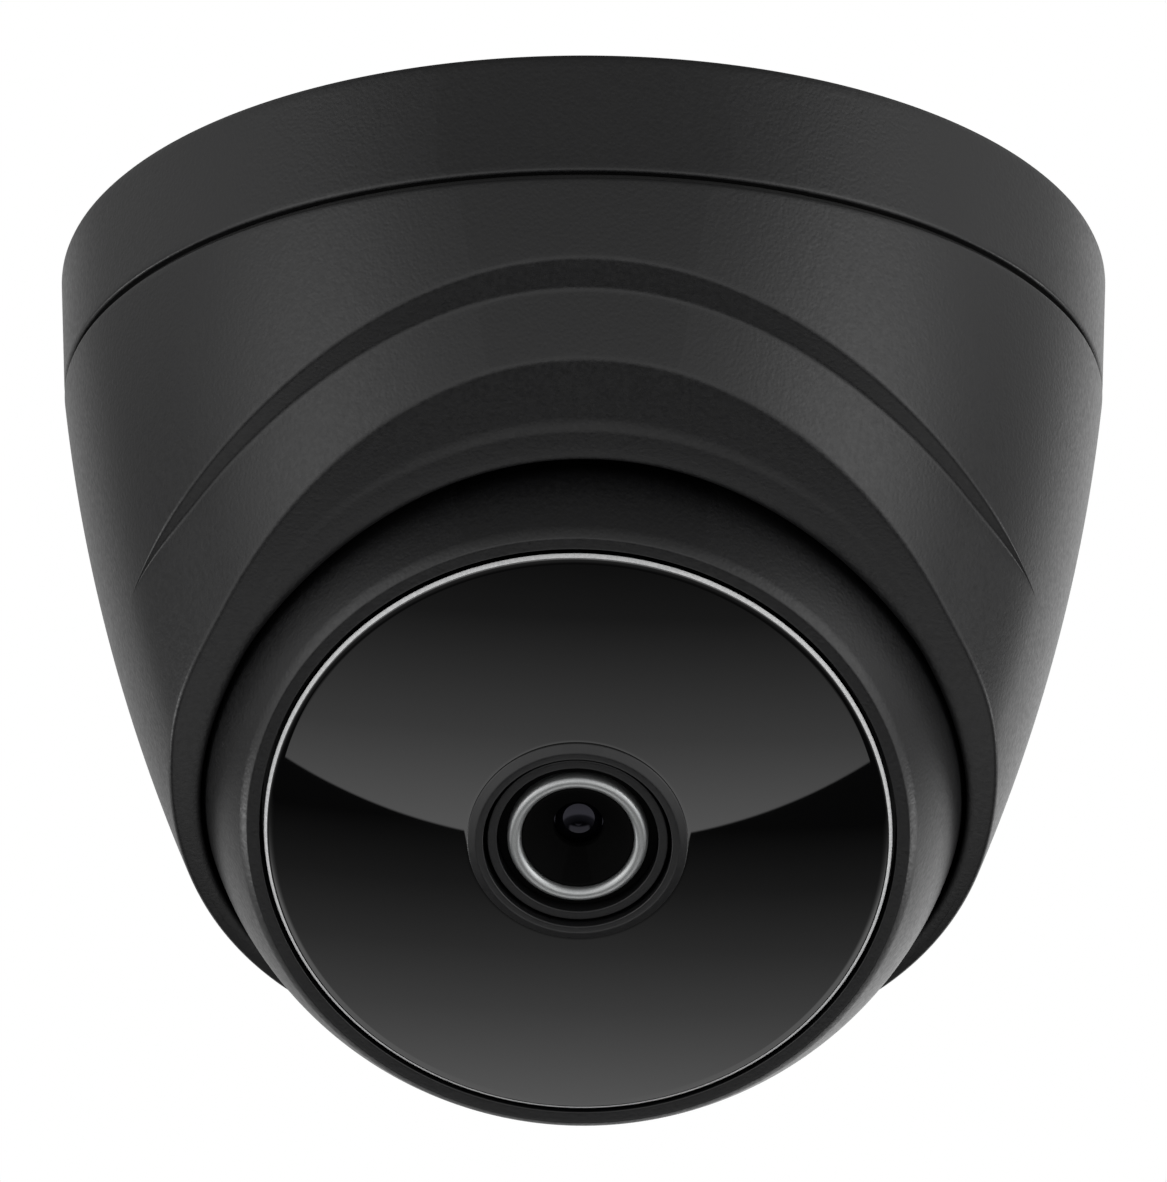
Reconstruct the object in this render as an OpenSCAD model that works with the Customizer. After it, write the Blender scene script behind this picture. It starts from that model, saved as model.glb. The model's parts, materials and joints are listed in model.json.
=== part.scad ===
// Turret dome camera that hangs under a ceiling. The origin is the centre of the ceiling face,
// +Z points up into the ceiling and -Y is the side that the mouth and the lens face.
// The bowl-shaped housing turns under a fixed base, and the eyeball turns in the housing's mouth.

/* [Base] */
// Radius of the base at the ceiling
base_r = 42.7; // [40:0.1:48]
// Height of the visible band of the base
base_h = 9.8; // [8:0.1:14]
// How much narrower the band is at its lower edge
base_taper = 0.5; // [0:0.1:1.5]
// Wall of the band and thickness of the plate
base_wall = 2.4; // [2:0.1:3]
// Radius of the cable hole in the middle of the plate
cable_hole_r = 9; // [6:0.5:12]
// Circle of the ceiling screws, centre to centre
screw_pcd = 62; // [54:1:64]
// Radius of a ceiling screw hole
screw_hole_r = 2.3; // [1.8:0.1:2.8]
// Number of ceiling screw holes
screw_count = 3; // [3:1:4]

/* [Housing] */
// Height of the open joint between band and bowl
joint_gap = 0.5; // [0.4:0.1:0.8]
// Depth of the open joint behind the outer face
joint_depth = 0.6; // [0.4:0.1:1]
// Height below the ceiling at which the bowl's lower radius is measured
bowl_low_depth = 58; // [56:1:66]
// Radius of the bowl at that height
bowl_low_r = 27.9; // [27:0.1:32]
// Radius of the bowl's side as seen from the side
bowl_arc_r = 151; // [120:1:220]
// Wall of the housing
wall = 2; // [1.6:0.1:2.4]
// Depth of the snap flange that hangs the housing on the base
flange_h = 1.7; // [1.4:0.1:2.2]

/* [Mouth] */
// Depth below the ceiling at which the brow line starts in front
brow_front_depth = 16.7; // [15:0.1:20]
// Depth below the ceiling of the brow line beside the ball
brow_side_depth = 34.5; // [32:0.1:38]
// Radius of the brow line, seen from the side
brow_arc_r = 68; // [60:1:110]
// Distance that the face below the brow is set back
brow_set_back = 1.6; // [1:0.1:2]
// Depth below the ceiling of the mouth's front edge
mouth_front_depth = 23.8; // [22:0.1:26]
// Depth below the ceiling of the mouth beside the ball
mouth_side_depth = 48.9; // [46:0.1:54]
// Radius of the mouth line, seen from the side
mouth_arc_r = 126; // [100:1:200]
// Thickness of the shelf around the mouth
shelf_t = 1.8; // [1.4:0.1:2.2]

/* [Eyeball] */
// Radius of the ball
ball_r = 31.07; // [28:0.01:32]
// Depth of the ball's centre below the ceiling
ball_depth = 39.23; // [38:0.01:46]
// Tilt of the lens away from straight down, at rest
ball_tilt = 40.6; // [0:0.1:70]
// Turn of the eyeball to the side, at rest
ball_pan = -2.3; // [-20:0.1:20]
// Wall of the ball's two shells
shell_t = 2.2; // [1.8:0.1:2.6]
// Distance from the ball's centre to the rim of its front face
face_w = 16.96; // [15:0.01:19]
// Distance of the seam between the two shells behind the ball's centre
seam_back = 3; // [2:0.5:5]
// Width of the rim around the window's recess
rim_w = 0.9; // [0.7:0.1:1.5]

/* [Window] */
// Thickness of the window at its edge
window_t = 2.1; // [1.6:0.1:2.6]
// How far the window's middle is crowned
window_crown = 0.6; // [0.4:0.1:2]
// How far the window's edge stands out from the rim
window_proud = 0.2; // [0:0.05:0.4]
// Width of the ledge that the window is bonded to
ledge_w = 2.5; // [2:0.1:3.5]
// Thickness of the ledge
ledge_t = 1.8; // [1.4:0.1:2.4]
// Thickness of the bonding tape
tape_t = 0.2; // [0.1:0.05:0.4]

/* [Lens] */
// Wall of the collar between the barrel's head and the window's hole
collar_wall = 0.65; // [0.5:0.05:1]
// Radius of the lens barrel's head
head_r = 7.05; // [6.6:0.05:7.2]
// Wall of the barrel's head
head_wall = 0.75; // [0.6:0.05:1]
// Radius of the barrel's threaded body
thread_r = 5.9; // [5:0.1:6]
// Radius of the glass elements
glass_r = 3.45; // [3:0.05:4]
// Outer radius of the pale retaining ring
ring_r = 5.5; // [5:0.05:5.8]
// Width of the pale retaining ring
ring_w = 1.1; // [0.8:0.05:1.3]
// Radius of the opening over the front element
pupil_r = 1.95; // [1.5:0.05:2.4]

/* [Boards] */
// Number of places for lamps on the lamp board, one of which holds the light sensor
lamp_places = 12; // [8:1:14]
// Radius of the circle of lamps
lamp_circle_r = 16; // [14:0.5:18]
// Radius of one lamp
lamp_r = 1.6; // [1.2:0.1:2.2]
// Side of the square sensor board
sensor_board_w = 34; // [32:1:36]
// Radius of the round power board
power_board_r = 19.8; // [19:0.1:21]
// Thickness of the boards
board_t = 1.6; // [1:0.1:2]
// Half the spacing of the board screws
board_screw_at = 13; // [12:0.5:13.5]

/* [Clearances] */
// Gap between the ball and whatever it turns in
ball_gap = 0.33; // [0.3:0.01:0.5]
// Gap beside the ball in the bore of the mouth
mouth_bore_gap = 0.63; // [0.5:0.01:0.9]
// Gap between parts that turn past each other
turn_gap = 0.3; // [0.25:0.05:0.5]
// Running clearance of the cable hub in the ball
hub_gap = 0.05; // [0.03:0.01:0.1]
// Gap between the window and its recess
window_gap = 0.35; // [0.3:0.05:0.7]
// Gap between pieces that are fitted into each other and stay put
fit_gap = 0.05; // [0.05:0.01:0.1]

/* [Hidden] */
$fn = 96;

// Colours
black_plastic = "#1c1c1d";
gloss_black = "#0a0a0b";
dark_rubber = "#141414";
pale_metal = "#b9bdbd";
steel = "#8f9296";
brass = "#b08d4a";
board_green = "#1f5a3a";
glass_blue = "#5f6f9a";
cream = "#e4e0d4";

// Circle of radius r through two points of a drawing, with its centre to the left of the way from p to q
function arc_centre(p, q, r) =
    let (d = q - p, len = norm(d), rise = sqrt(r * r - len * len / 4))
    (p + q) / 2 + [-d.y, d.x] / len * rise;

// Housing
bowl_top_z = -base_h - joint_gap;
bowl_top_r = base_r - base_taper;
bowl_c = arc_centre([bowl_low_r, -bowl_low_depth], [bowl_top_r, bowl_top_z], bowl_arc_r);
function bowl_r(z) = bowl_c.x + sqrt(pow(bowl_arc_r, 2) - pow(z - bowl_c.y, 2));
brow_c = arc_centre([-bowl_r(-brow_front_depth), -brow_front_depth], [0, -brow_side_depth], brow_arc_r);
mouth_front_y = brow_set_back - bowl_r(-mouth_front_depth);
mouth_c = arc_centre([mouth_front_y, -mouth_front_depth], [0, -mouth_side_depth], mouth_arc_r);
ball_z = -ball_depth;
pocket_r = ball_r + ball_gap;
mouth_bore_r = ball_r + mouth_bore_gap;
hollow_floor_z = ball_z - 1.5;
tall = 3 * base_r;

// Snap joint between base and housing
flange_r = 37.9 + base_r - 42.7;
spigot_r = flange_r - turn_gap;
spigot_wall = 1.8;
snap_r = spigot_r + 1.3;
snap_h = 1.5;
snap_z = bowl_top_z - flange_h - turn_gap;
snap_slots = 6;
snap_slot_w = 3;
glide_t = joint_gap - 0.1;
screw_boss_r = screw_hole_r + 2.2;
screw_boss_h = 2;
gasket_r = base_r - 3.2;
gasket_w = 3;
gasket_t = 1;

// Ring that holds the eyeball down in its seat, and the ring that presses on it
lining_t = 0.8;
ring_back_r = pocket_r + lining_t;
ring_low_z = ball_z + 14.6;
ring_high_z = ball_z + 19.8;
ring_out_r = mouth_bore_r - 0.5;
retainer_z = ring_high_z + turn_gap;
retainer_t = 1.6;
retainer_in_r = ball_r * cos(asin((retainer_z - ball_z) / ball_r)) + 1.8;
boss_r = 2.4;
boss_at_r = mouth_bore_r + boss_r + turn_gap;
boss_angles = [30, 150, 270];
boss_depth = 13;
retainer_out_r = boss_at_r + boss_r - 0.2;
retainer_open = 86;
small_screw_r = 1;

// Ball, in its own drawing: w runs along the lens axis from the ball's centre towards the scene
inner_r = ball_r - shell_t;
seam_w = -seam_back;
rim_r = sqrt(ball_r * ball_r - face_w * face_w) - 0.3;
recess_r = rim_r - rim_w;
window_r = recess_r - window_gap;
window_edge_w = face_w + window_proud;
window_back_w = window_edge_w - window_t;
ledge_front_w = window_back_w - tape_t;
ledge_back_w = ledge_front_w - ledge_t;
ledge_r = recess_r - ledge_w;
crown_r = (window_r * window_r + window_crown * window_crown) / (2 * window_crown);
window_mid_w = window_edge_w + window_crown;

// Cable hub at the back of the ball
hub_r = 3.2;
hub_flange_r = 4.2;
hub_bore_r = 1.9;
hub_seat_w = -ball_r + 0.8;
hub_boss_r = 6;
hub_boss_w = -inner_r + 1.7;
clip_t = 0.8;
ring_gap_w = 2 * hub_flange_r + 1.8;

// Lens
lens_hole_r = head_r + turn_gap + collar_wall + fit_gap;
collar_out_r = lens_hole_r + 0.55;
collar_top_r = lens_hole_r - 0.15;
collar_bore_r = head_r + turn_gap;
collar_foot_w = window_back_w - 1.5;
collar_base_w = window_mid_w - 0.05;
collar_h = 0.5;
head_front_w = window_mid_w - 0.1;
head_back_w = 8;
head_floor_w = head_front_w - 2.2;
barrel_back_w = -1;
ring_foot_w = head_floor_w + 1;
ring_in_r = ring_r - ring_w;
front_glass_w = head_floor_w - 3;
nose_foot_w = front_glass_w + 1.9;

// Boards and the lens holder
lamp_board_front_w = ledge_back_w - 2.1;
lamp_board_t = 1.2;
lamp_board_back_w = lamp_board_front_w - lamp_board_t;
lamp_board_r = 25.6 + ball_r - 31.07;
lamp_board_hole_r = lens_hole_r + 0.95;
lamp_h = 3;
lamp_post_at_r = (ledge_r + lamp_board_r) / 2 - 0.3;
lamp_post_r = 1.7;
baffle_wall = 1.3;
sensor_front_w = -6;
sensor_back_w = sensor_front_w - board_t;
spacer_h = 6.4;
power_front_w = sensor_back_w - spacer_h;
power_back_w = power_front_w - board_t;
board_corners = [for (sx = [-1, 1], sy = [-1, 1]) [sx * board_screw_at, sy * board_screw_at]];
pilot_r = small_screw_r + 0.03;
holder_w = 18;
holder_base_h = 4;
holder_top_w = 6;
holder_tube_r = thread_r + 1.7;
holder_step_w = -3;
filter_w = 8;
filter_t = 0.35;
shell_boss_r = 3;
shell_boss_at_r = inner_r - 2.6;
shell_boss_angles = [30, 150, 270];
shell_boss_front_w = 6;
shell_pocket_w = -12;
seal_at_r = ball_r - 1.27;
seal_r = 0.55;
connector_h = 4.6;

// Housing shapes
module bowl_outline(inset = 0) {
    intersection() {
        translate(bowl_c) circle(r = bowl_arc_r - inset, $fn = 240);
        translate([0, -bowl_low_depth - base_h]) square([base_r, bowl_low_depth + base_h + bowl_top_z]);
    }
}

module bowl(inset = 0, back = 0) {
    translate([0, back, 0]) rotate_extrude() bowl_outline(inset);
}

// Round bar across the housing: what lies inside it is above the line that it draws
module line_bar(centre, r) {
    translate([0, centre.x, centre.y]) rotate([0, 90, 0]) cylinder(r = r, h = tall, center = true, $fn = 240);
}

module ring(out_r, in_r, low, high) {
    translate([0, 0, low]) difference() {
        cylinder(r = out_r, h = high - low);
        translate([0, 0, -1]) cylinder(r = in_r, h = high - low + 2);
    }
}

module disc(r, low, high) {
    translate([0, 0, low]) cylinder(r = r, h = high - low);
}

// Wedge from the axis towards +Y, for the gap in an open ring
module rear_wedge(angle, low, high) {
    half = angle / 2;
    translate([0, 0, low]) linear_extrude(height = high - low)
        polygon([[0, 0], [tall * sin(half), tall * cos(half)], [-tall * sin(half), tall * cos(half)]]);
}

// Children placed with the ball's turn only, or with its turn and tilt and +Z along the lens axis
module ring_place() {
    translate([0, 0, ball_z]) rotate([0, 0, ball_pan]) children();
}

module ball_place() {
    ring_place() rotate([180 - ball_tilt, 0, 0]) children();
}

module at_polar(r, angles) {
    for (a = angles) rotate([0, 0, a]) translate([r, 0, 0]) children();
}

module screw(head_r, head_h, shank_l) {
    difference() {
        disc(head_r, 0, head_h);
        translate([-head_r, -0.25, head_h - 0.5]) cube([2 * head_r, 0.5, 1]);
    }
    disc(small_screw_r, -shank_l, 0);
}

// Base
module mounting_base() {
    color(black_plastic) difference() {
        union() {
            translate([0, 0, -base_h]) cylinder(r1 = base_r - base_taper, r2 = base_r, h = base_h);
            disc(spigot_r, snap_z - snap_h, -base_wall);
            disc(snap_r, snap_z - snap_h, snap_z);
        }
        difference() {
            disc(base_r - base_taper - base_wall, -base_h - 1, -base_wall);
            disc(spigot_r, snap_z - snap_h - 1, 0);
        }
        difference() {
            disc(spigot_r - spigot_wall, snap_z - snap_h - 1, -base_wall);
            at_polar(screw_pcd / 2, [for (i = [0:screw_count - 1]) 90 + i * 360 / screw_count])
                disc(screw_boss_r, -base_wall - screw_boss_h, 0);
        }
        for (i = [0:snap_slots - 1]) rotate([0, 0, 60 + i * 360 / snap_slots])
            translate([spigot_r - spigot_wall - 1, -snap_slot_w / 2, snap_z - snap_h - 1])
                cube([spigot_wall + 4, snap_slot_w, snap_h + 1 + 3.5]);
        at_polar(screw_pcd / 2, [for (i = [0:screw_count - 1]) 90 + i * 360 / screw_count])
            disc(screw_hole_r, -base_h, 1);
        disc(cable_hole_r, -base_h, 1);
        ring(gasket_r, gasket_r - gasket_w, -gasket_t, 1);
    }
}

module ceiling_gasket() {
    color(dark_rubber) ring(gasket_r - fit_gap, gasket_r - gasket_w + fit_gap, -gasket_t, 0);
}

module glide_ring() {
    color(dark_rubber) ring(bowl_top_r - joint_depth, bowl_top_r - base_wall + 0.2, -base_h - glide_t, -base_h);
}

// Housing
module housing_skin(inset = 0) {
    intersection() {
        bowl(inset);
        union() {
            line_bar(brow_c, brow_arc_r);
            bowl(inset, brow_set_back);
        }
        line_bar(mouth_c, mouth_arc_r - inset);
    }
}

module housing_hollow() {
    intersection() {
        bowl(wall);
        bowl(wall, brow_set_back);
        line_bar(mouth_c, mouth_arc_r - shelf_t);
        disc(base_r, hollow_floor_z, bowl_top_z - flange_h);
    }
}

module housing_bosses() {
    intersection() {
        at_polar(boss_at_r, boss_angles) {
            disc(boss_r, retainer_z - boss_depth, retainer_z);
            translate([0, -1, retainer_z - boss_depth]) cube([base_r, 2, boss_depth - 1.2]);
        }
        bowl(wall / 2);
        bowl(wall / 2, brow_set_back);
        line_bar(mouth_c, mouth_arc_r - shelf_t / 2);
    }
}

module lower_housing() {
    color(black_plastic) difference() {
        union() {
            difference() {
                housing_skin();
                housing_hollow();
            }
            housing_bosses();
        }
        translate([0, 0, ball_z]) sphere(r = pocket_r);
        disc(mouth_bore_r, ball_z, retainer_z - 1);
        disc(flange_r, retainer_z, 1);
        disc(snap_r + turn_gap, snap_z - snap_h - 2 * turn_gap, bowl_top_z - flange_h);
        at_polar(boss_at_r, boss_angles) disc(pilot_r, retainer_z - 7, retainer_z + 1);
    }
}

module retainer_ring() {
    color(steel) difference() {
        ring(retainer_out_r, retainer_in_r, retainer_z, retainer_z + retainer_t);
        rear_wedge(retainer_open, retainer_z - 1, retainer_z + retainer_t + 1);
        at_polar(boss_at_r, boss_angles) disc(pilot_r + 0.1, retainer_z - 1, retainer_z + retainer_t + 1);
    }
}

module retainer_screws() {
    color(steel) at_polar(boss_at_r, boss_angles)
        translate([0, 0, retainer_z + retainer_t]) screw(1.9, 1.4, retainer_t + 5.5);
}

// Turns its children's outline into a ring over the ball, open at the back for the cable hub
module open_ring() {
    difference() {
        rotate_extrude() intersection() {
            children();
            translate([0, ring_low_z - ball_z]) square([ring_out_r, ring_high_z - ring_low_z]);
        }
        translate([-ring_gap_w / 2, 0, 0]) cube([ring_gap_w, tall, tall]);
    }
}

module friction_ring() {
    color(black_plastic) ring_place() open_ring() difference() {
        square(tall);
        circle(r = ring_back_r + fit_gap, $fn = 240);
    }
}

module friction_lining() {
    color(dark_rubber) ring_place() open_ring() difference() {
        circle(r = ring_back_r, $fn = 240);
        circle(r = pocket_r, $fn = 240);
    }
}

// Cable hub, around which the ball rolls
module cable_gland() {
    color(dark_rubber) ball_place() difference() {
        union() {
            disc(hub_r, hub_seat_w - 1, hub_boss_w + clip_t + 0.4);
            disc(hub_flange_r, -ball_r - 2.4, hub_seat_w - 0.2);
        }
        disc(hub_bore_r, -ball_r - 4, 0);
    }
}

module gland_clip() {
    color(steel) ball_place() ring(4.6, hub_r + fit_gap, hub_boss_w + 0.1, hub_boss_w + 0.1 + clip_t);
}

// Ball shells, drawn with w upwards
module shell_outline(low, high) {
    intersection() {
        circle(r = ball_r, $fn = 240);
        polygon([[0, low], [ball_r + 1, low], [ball_r + 1, high - (ball_r + 1 - rim_r)], [rim_r, high], [0, high]]);
    }
}

module seal_groove() {
    rotate_extrude() translate([seal_at_r, seam_w]) circle(r = seal_r + fit_gap, $fn = 24);
}

module front_shell() {
    color(black_plastic) ball_place() difference() {
        union() {
            rotate_extrude() difference() {
                shell_outline(seam_w, face_w);
                translate([0, seam_w - 1]) square([ledge_r, tall]);
                translate([0, ledge_front_w]) square([recess_r, tall]);
                intersection() {
                    circle(r = inner_r, $fn = 240);
                    translate([0, seam_w - 1]) square([inner_r, ledge_back_w - seam_w + 1]);
                }
            }
            intersection() {
                at_polar(shell_boss_at_r, shell_boss_angles) disc(shell_boss_r, seam_w, shell_boss_front_w);
                sphere(r = ball_r - 0.5);
            }
            at_polar(lamp_post_at_r, shell_boss_angles) disc(lamp_post_r, lamp_board_front_w, ledge_back_w + 0.5);
        }
        at_polar(shell_boss_at_r, shell_boss_angles) disc(pilot_r, seam_w - 1, shell_boss_front_w - 2);
        at_polar(lamp_post_at_r, shell_boss_angles) disc(0.75, lamp_board_front_w - 1, ledge_back_w);
        seal_groove();
    }
}

module rear_shell() {
    color(black_plastic) ball_place() difference() {
        union() {
            rotate_extrude() difference() {
                intersection() {
                    circle(r = ball_r, $fn = 240);
                    translate([0, -ball_r]) square([ball_r, ball_r + seam_w]);
                }
                intersection() {
                    circle(r = inner_r, $fn = 240);
                    polygon([
                        [0, hub_boss_w], [hub_boss_r, hub_boss_w], [hub_boss_r, -ball_r],
                        [ball_r, -ball_r], [ball_r, 0], [0, 0]
                    ]);
                }
                translate([0, -ball_r - 1]) square([hub_r + hub_gap, ball_r]);
                translate([0, -ball_r - 1]) square([hub_flange_r + turn_gap, hub_seat_w + ball_r + 1]);
                translate([seal_at_r, seam_w]) circle(r = seal_r + fit_gap, $fn = 24);
            }
            intersection() {
                union() {
                    at_polar(shell_boss_at_r, shell_boss_angles) disc(shell_boss_r, -ball_r, seam_w);
                    for (c = board_corners) translate(c) disc(2.6, -ball_r, power_back_w);
                }
                sphere(r = ball_r - 0.5);
            }
        }
        at_polar(shell_boss_at_r, shell_boss_angles) {
            disc(pilot_r + 0.2, shell_pocket_w - 1, seam_w + 1);
            disc(2.2, -ball_r, shell_pocket_w);
        }
        for (c = board_corners) translate(c) disc(pilot_r, power_back_w - 5.5, 0);
    }
}

module shell_seal() {
    color(dark_rubber) ball_place() rotate_extrude() translate([seal_at_r, seam_w]) circle(r = seal_r, $fn = 24);
}

module shell_screws() {
    color(steel) ball_place() at_polar(shell_boss_at_r, shell_boss_angles)
        translate([0, 0, shell_pocket_w]) rotate([180, 0, 0]) screw(1.9, 1.5, shell_boss_front_w - shell_pocket_w - 3);
}

// Window
module front_window() {
    color(gloss_black) ball_place() rotate_extrude() difference() {
        intersection() {
            translate([0, window_mid_w - crown_r]) circle(r = crown_r, $fn = 360);
            polygon([
                [0, window_back_w], [window_r, window_back_w],
                [window_r, window_edge_w - 0.35], [window_r - 0.4, window_edge_w], [window_r - 0.4, tall], [0, tall]
            ]);
        }
        square([lens_hole_r, tall]);
    }
}

module window_tape() {
    color(dark_rubber) ball_place() ring(window_r - 0.1, ledge_r + 0.3, ledge_front_w, window_back_w);
}

module lens_collar() {
    color(black_plastic) ball_place() rotate_extrude() polygon([
        [collar_bore_r, collar_foot_w], [lens_hole_r - fit_gap, collar_foot_w],
        [lens_hole_r - fit_gap, collar_base_w], [collar_out_r, collar_base_w],
        [collar_out_r, collar_base_w + 0.1], [collar_top_r, collar_base_w + collar_h],
        [collar_bore_r + 0.1, collar_base_w + collar_h], [collar_bore_r, collar_base_w + collar_h - 0.1]
    ]);
}

module light_baffle() {
    color(dark_rubber) ball_place()
        ring(lens_hole_r + fit_gap + baffle_wall, lens_hole_r + fit_gap, lamp_board_front_w, window_back_w);
}

// Lens
module lens_barrel() {
    color(gloss_black) ball_place() rotate_extrude() difference() {
        union() {
            translate([0, barrel_back_w]) square([thread_r, head_back_w - barrel_back_w + 1]);
            translate([0, head_back_w]) square([head_r, head_front_w - head_back_w]);
        }
        translate([0, barrel_back_w - 1]) square([glass_r - 0.9, 3]);
        translate([0, barrel_back_w + 1.6]) square([glass_r + fit_gap, tall]);
        translate([0, head_floor_w]) square([head_r - head_wall, tall]);
    }
}

module lens_nose() {
    out_r = head_r - head_wall - fit_gap;
    color(gloss_black) ball_place() rotate_extrude() polygon([
        [pupil_r, nose_foot_w], [glass_r, nose_foot_w], [glass_r, head_floor_w], [out_r, head_floor_w],
        [out_r, ring_foot_w], [ring_in_r - fit_gap, ring_foot_w], [ring_in_r - fit_gap, head_front_w - 0.5],
        [ring_in_r - 0.25, head_front_w - 0.5], [pupil_r, nose_foot_w + 0.6]
    ]);
}

module lens_retaining_ring() {
    color(pale_metal) ball_place() rotate_extrude() {
        translate([ring_in_r, ring_foot_w]) square([ring_w, head_front_w - ring_w / 2 - ring_foot_w]);
        translate([ring_in_r + ring_w / 2, head_front_w - ring_w / 2]) circle(r = ring_w / 2, $fn = 48);
    }
}

// Glass element between two heights, with both faces bulging by the given rise
module element(low, high, rise) {
    curve_r = (glass_r * glass_r + rise * rise) / (2 * rise);
    color(glass_blue) ball_place() rotate_extrude() intersection() {
        translate([0, low]) square([glass_r, high - low]);
        translate([0, high - curve_r]) circle(r = curve_r, $fn = 240);
        translate([0, low + curve_r]) circle(r = curve_r, $fn = 240);
    }
}

module lens_front_element() {
    cap_r = pupil_r - 0.1;
    cap_rise = 0.7;
    sphere_r = (cap_r * cap_r + cap_rise * cap_rise) / (2 * cap_rise);
    neck_w = nose_foot_w + 0.1;
    color(glass_blue) ball_place() rotate_extrude() {
        translate([0, front_glass_w]) square([glass_r, nose_foot_w - front_glass_w - fit_gap]);
        translate([0, front_glass_w]) square([cap_r, neck_w - front_glass_w]);
        intersection() {
            translate([0, neck_w]) square([cap_r, cap_rise]);
            translate([0, neck_w + cap_rise - sphere_r]) circle(r = sphere_r, $fn = 96);
        }
    }
}

module lens_spacer() {
    color(gloss_black) ball_place() ring(glass_r, glass_r - 0.7, barrel_back_w + 8.7, front_glass_w - fit_gap);
}

module lens_second_element() {
    element(barrel_back_w + 6.2, barrel_back_w + 8.6, 0.7);
}

module aperture_stop() {
    color(steel) ball_place() ring(glass_r, 1.2, barrel_back_w + 5.4, barrel_back_w + 5.8);
}

module lens_third_element() {
    element(barrel_back_w + 1.8, barrel_back_w + 5, 0.9);
}

module lens_holder() {
    color(gloss_black) ball_place() difference() {
        union() {
            translate([-holder_w / 2, -holder_w / 2, sensor_front_w]) cube([holder_w, holder_w, holder_base_h]);
            disc(holder_tube_r, sensor_front_w + holder_base_h, holder_top_w);
        }
        disc(thread_r + fit_gap, holder_step_w + 0.4, holder_top_w + 1);
        disc(filter_w / 2 - 0.8, sensor_front_w - 1, holder_top_w);
        translate([-5.5, -5.5, sensor_front_w - 1]) cube([11, 11, holder_step_w - sensor_front_w + 1]);
    }
}

module ir_cut_filter() {
    color(glass_blue) ball_place()
        translate([-filter_w / 2, -filter_w / 2, holder_step_w - filter_t]) cube([filter_w, filter_w, filter_t]);
}

module image_sensor() {
    color("#2b2b33") ball_place() translate([-4, -3.5, sensor_front_w]) cube([8, 7, 1.3]);
}

// Boards
module sensor_board() {
    color(board_green) ball_place() difference() {
        translate([-sensor_board_w / 2, -sensor_board_w / 2, sensor_back_w])
            cube([sensor_board_w, sensor_board_w, board_t]);
        for (c = board_corners) translate(c) disc(pilot_r + 0.1, sensor_back_w - 1, sensor_front_w + 1);
    }
}

module power_board() {
    color(board_green) ball_place() difference() {
        disc(power_board_r, power_back_w, power_front_w);
        for (c = board_corners) translate(c) disc(pilot_r + 0.1, power_back_w - 1, power_front_w + 1);
    }
}

module board_spacers() {
    color(brass) ball_place() for (c = board_corners) translate(c) difference() {
        translate([0, 0, power_front_w]) cylinder(r = 2.6, h = spacer_h, $fn = 6);
        disc(pilot_r + 0.1, power_front_w - 1, sensor_back_w + 1);
    }
}

module board_screws() {
    color(steel) ball_place() for (c = board_corners) translate(c)
        translate([0, 0, sensor_front_w]) screw(1.9, 1.4, sensor_front_w - power_back_w + 4.5);
}

module board_connector() {
    color(cream) ball_place() difference() {
        translate([-5, -2.5, power_back_w - connector_h]) cube([10, 5, connector_h]);
        translate([-4, -1.7, power_back_w - connector_h - 1]) cube([8, 3.4, 3]);
    }
}

module signal_lead() {
    color(dark_rubber) ball_place() disc(1.5, hub_boss_w + clip_t + 1, power_back_w - connector_h + 2);
}

module ir_led_board() {
    color(board_green) ball_place() difference() {
        ring(lamp_board_r, lamp_board_hole_r, lamp_board_back_w, lamp_board_front_w);
        at_polar(lamp_post_at_r, shell_boss_angles) disc(0.85, lamp_board_back_w - 1, lamp_board_front_w + 1);
    }
}

module ir_leds() {
    step = 360 / lamp_places;
    color(glass_blue) ball_place() at_polar(lamp_circle_r, [for (i = [1:lamp_places - 1]) 90 + i * step]) {
        disc(lamp_r, lamp_board_front_w, lamp_board_front_w + lamp_h - lamp_r);
        translate([0, 0, lamp_board_front_w + lamp_h - lamp_r]) intersection() {
            sphere(r = lamp_r, $fn = 48);
            disc(lamp_r, 0, lamp_r);
        }
    }
}

module light_sensor() {
    color(cream) ball_place() at_polar(lamp_circle_r, [90]) disc(2.4, lamp_board_front_w, lamp_board_front_w + 2);
}

module led_board_screws() {
    color(steel) ball_place() at_polar(lamp_post_at_r, shell_boss_angles) {
        disc(1.5, lamp_board_back_w - 1, lamp_board_back_w);
        disc(0.7, lamp_board_back_w, ledge_back_w - 0.6);
    }
}

module ribbon_cable() {
    color(cream) ball_place() translate([-4, -15.8, sensor_front_w]) cube([8, 0.5, lamp_board_back_w - sensor_front_w]);
}

mounting_base();
ceiling_gasket();
glide_ring();
lower_housing();
retainer_ring();
retainer_screws();
friction_ring();
friction_lining();
cable_gland();
gland_clip();
front_shell();
rear_shell();
shell_seal();
shell_screws();
front_window();
window_tape();
lens_collar();
light_baffle();
lens_barrel();
lens_nose();
lens_retaining_ring();
lens_front_element();
lens_spacer();
lens_second_element();
aperture_stop();
lens_third_element();
lens_holder();
ir_cut_filter();
image_sensor();
sensor_board();
power_board();
board_spacers();
board_screws();
board_connector();
signal_lead();
ir_led_board();
ir_leds();
light_sensor();
led_board_screws();
ribbon_cable();
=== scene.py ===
"""A small turret dome camera under a ceiling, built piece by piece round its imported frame.

The frame's own axes are used: +Z up into the ceiling and -Y towards the side the lens looks to.
Sizes are in millimetres and become metres when a mesh is made. A piece of the ball is drawn about
the lens axis first, with w as its height along that axis from the ball's centre.
"""
import json
import math

import bmesh
import bpy
import numpy as np
from mathutils import Matrix, Vector


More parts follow.
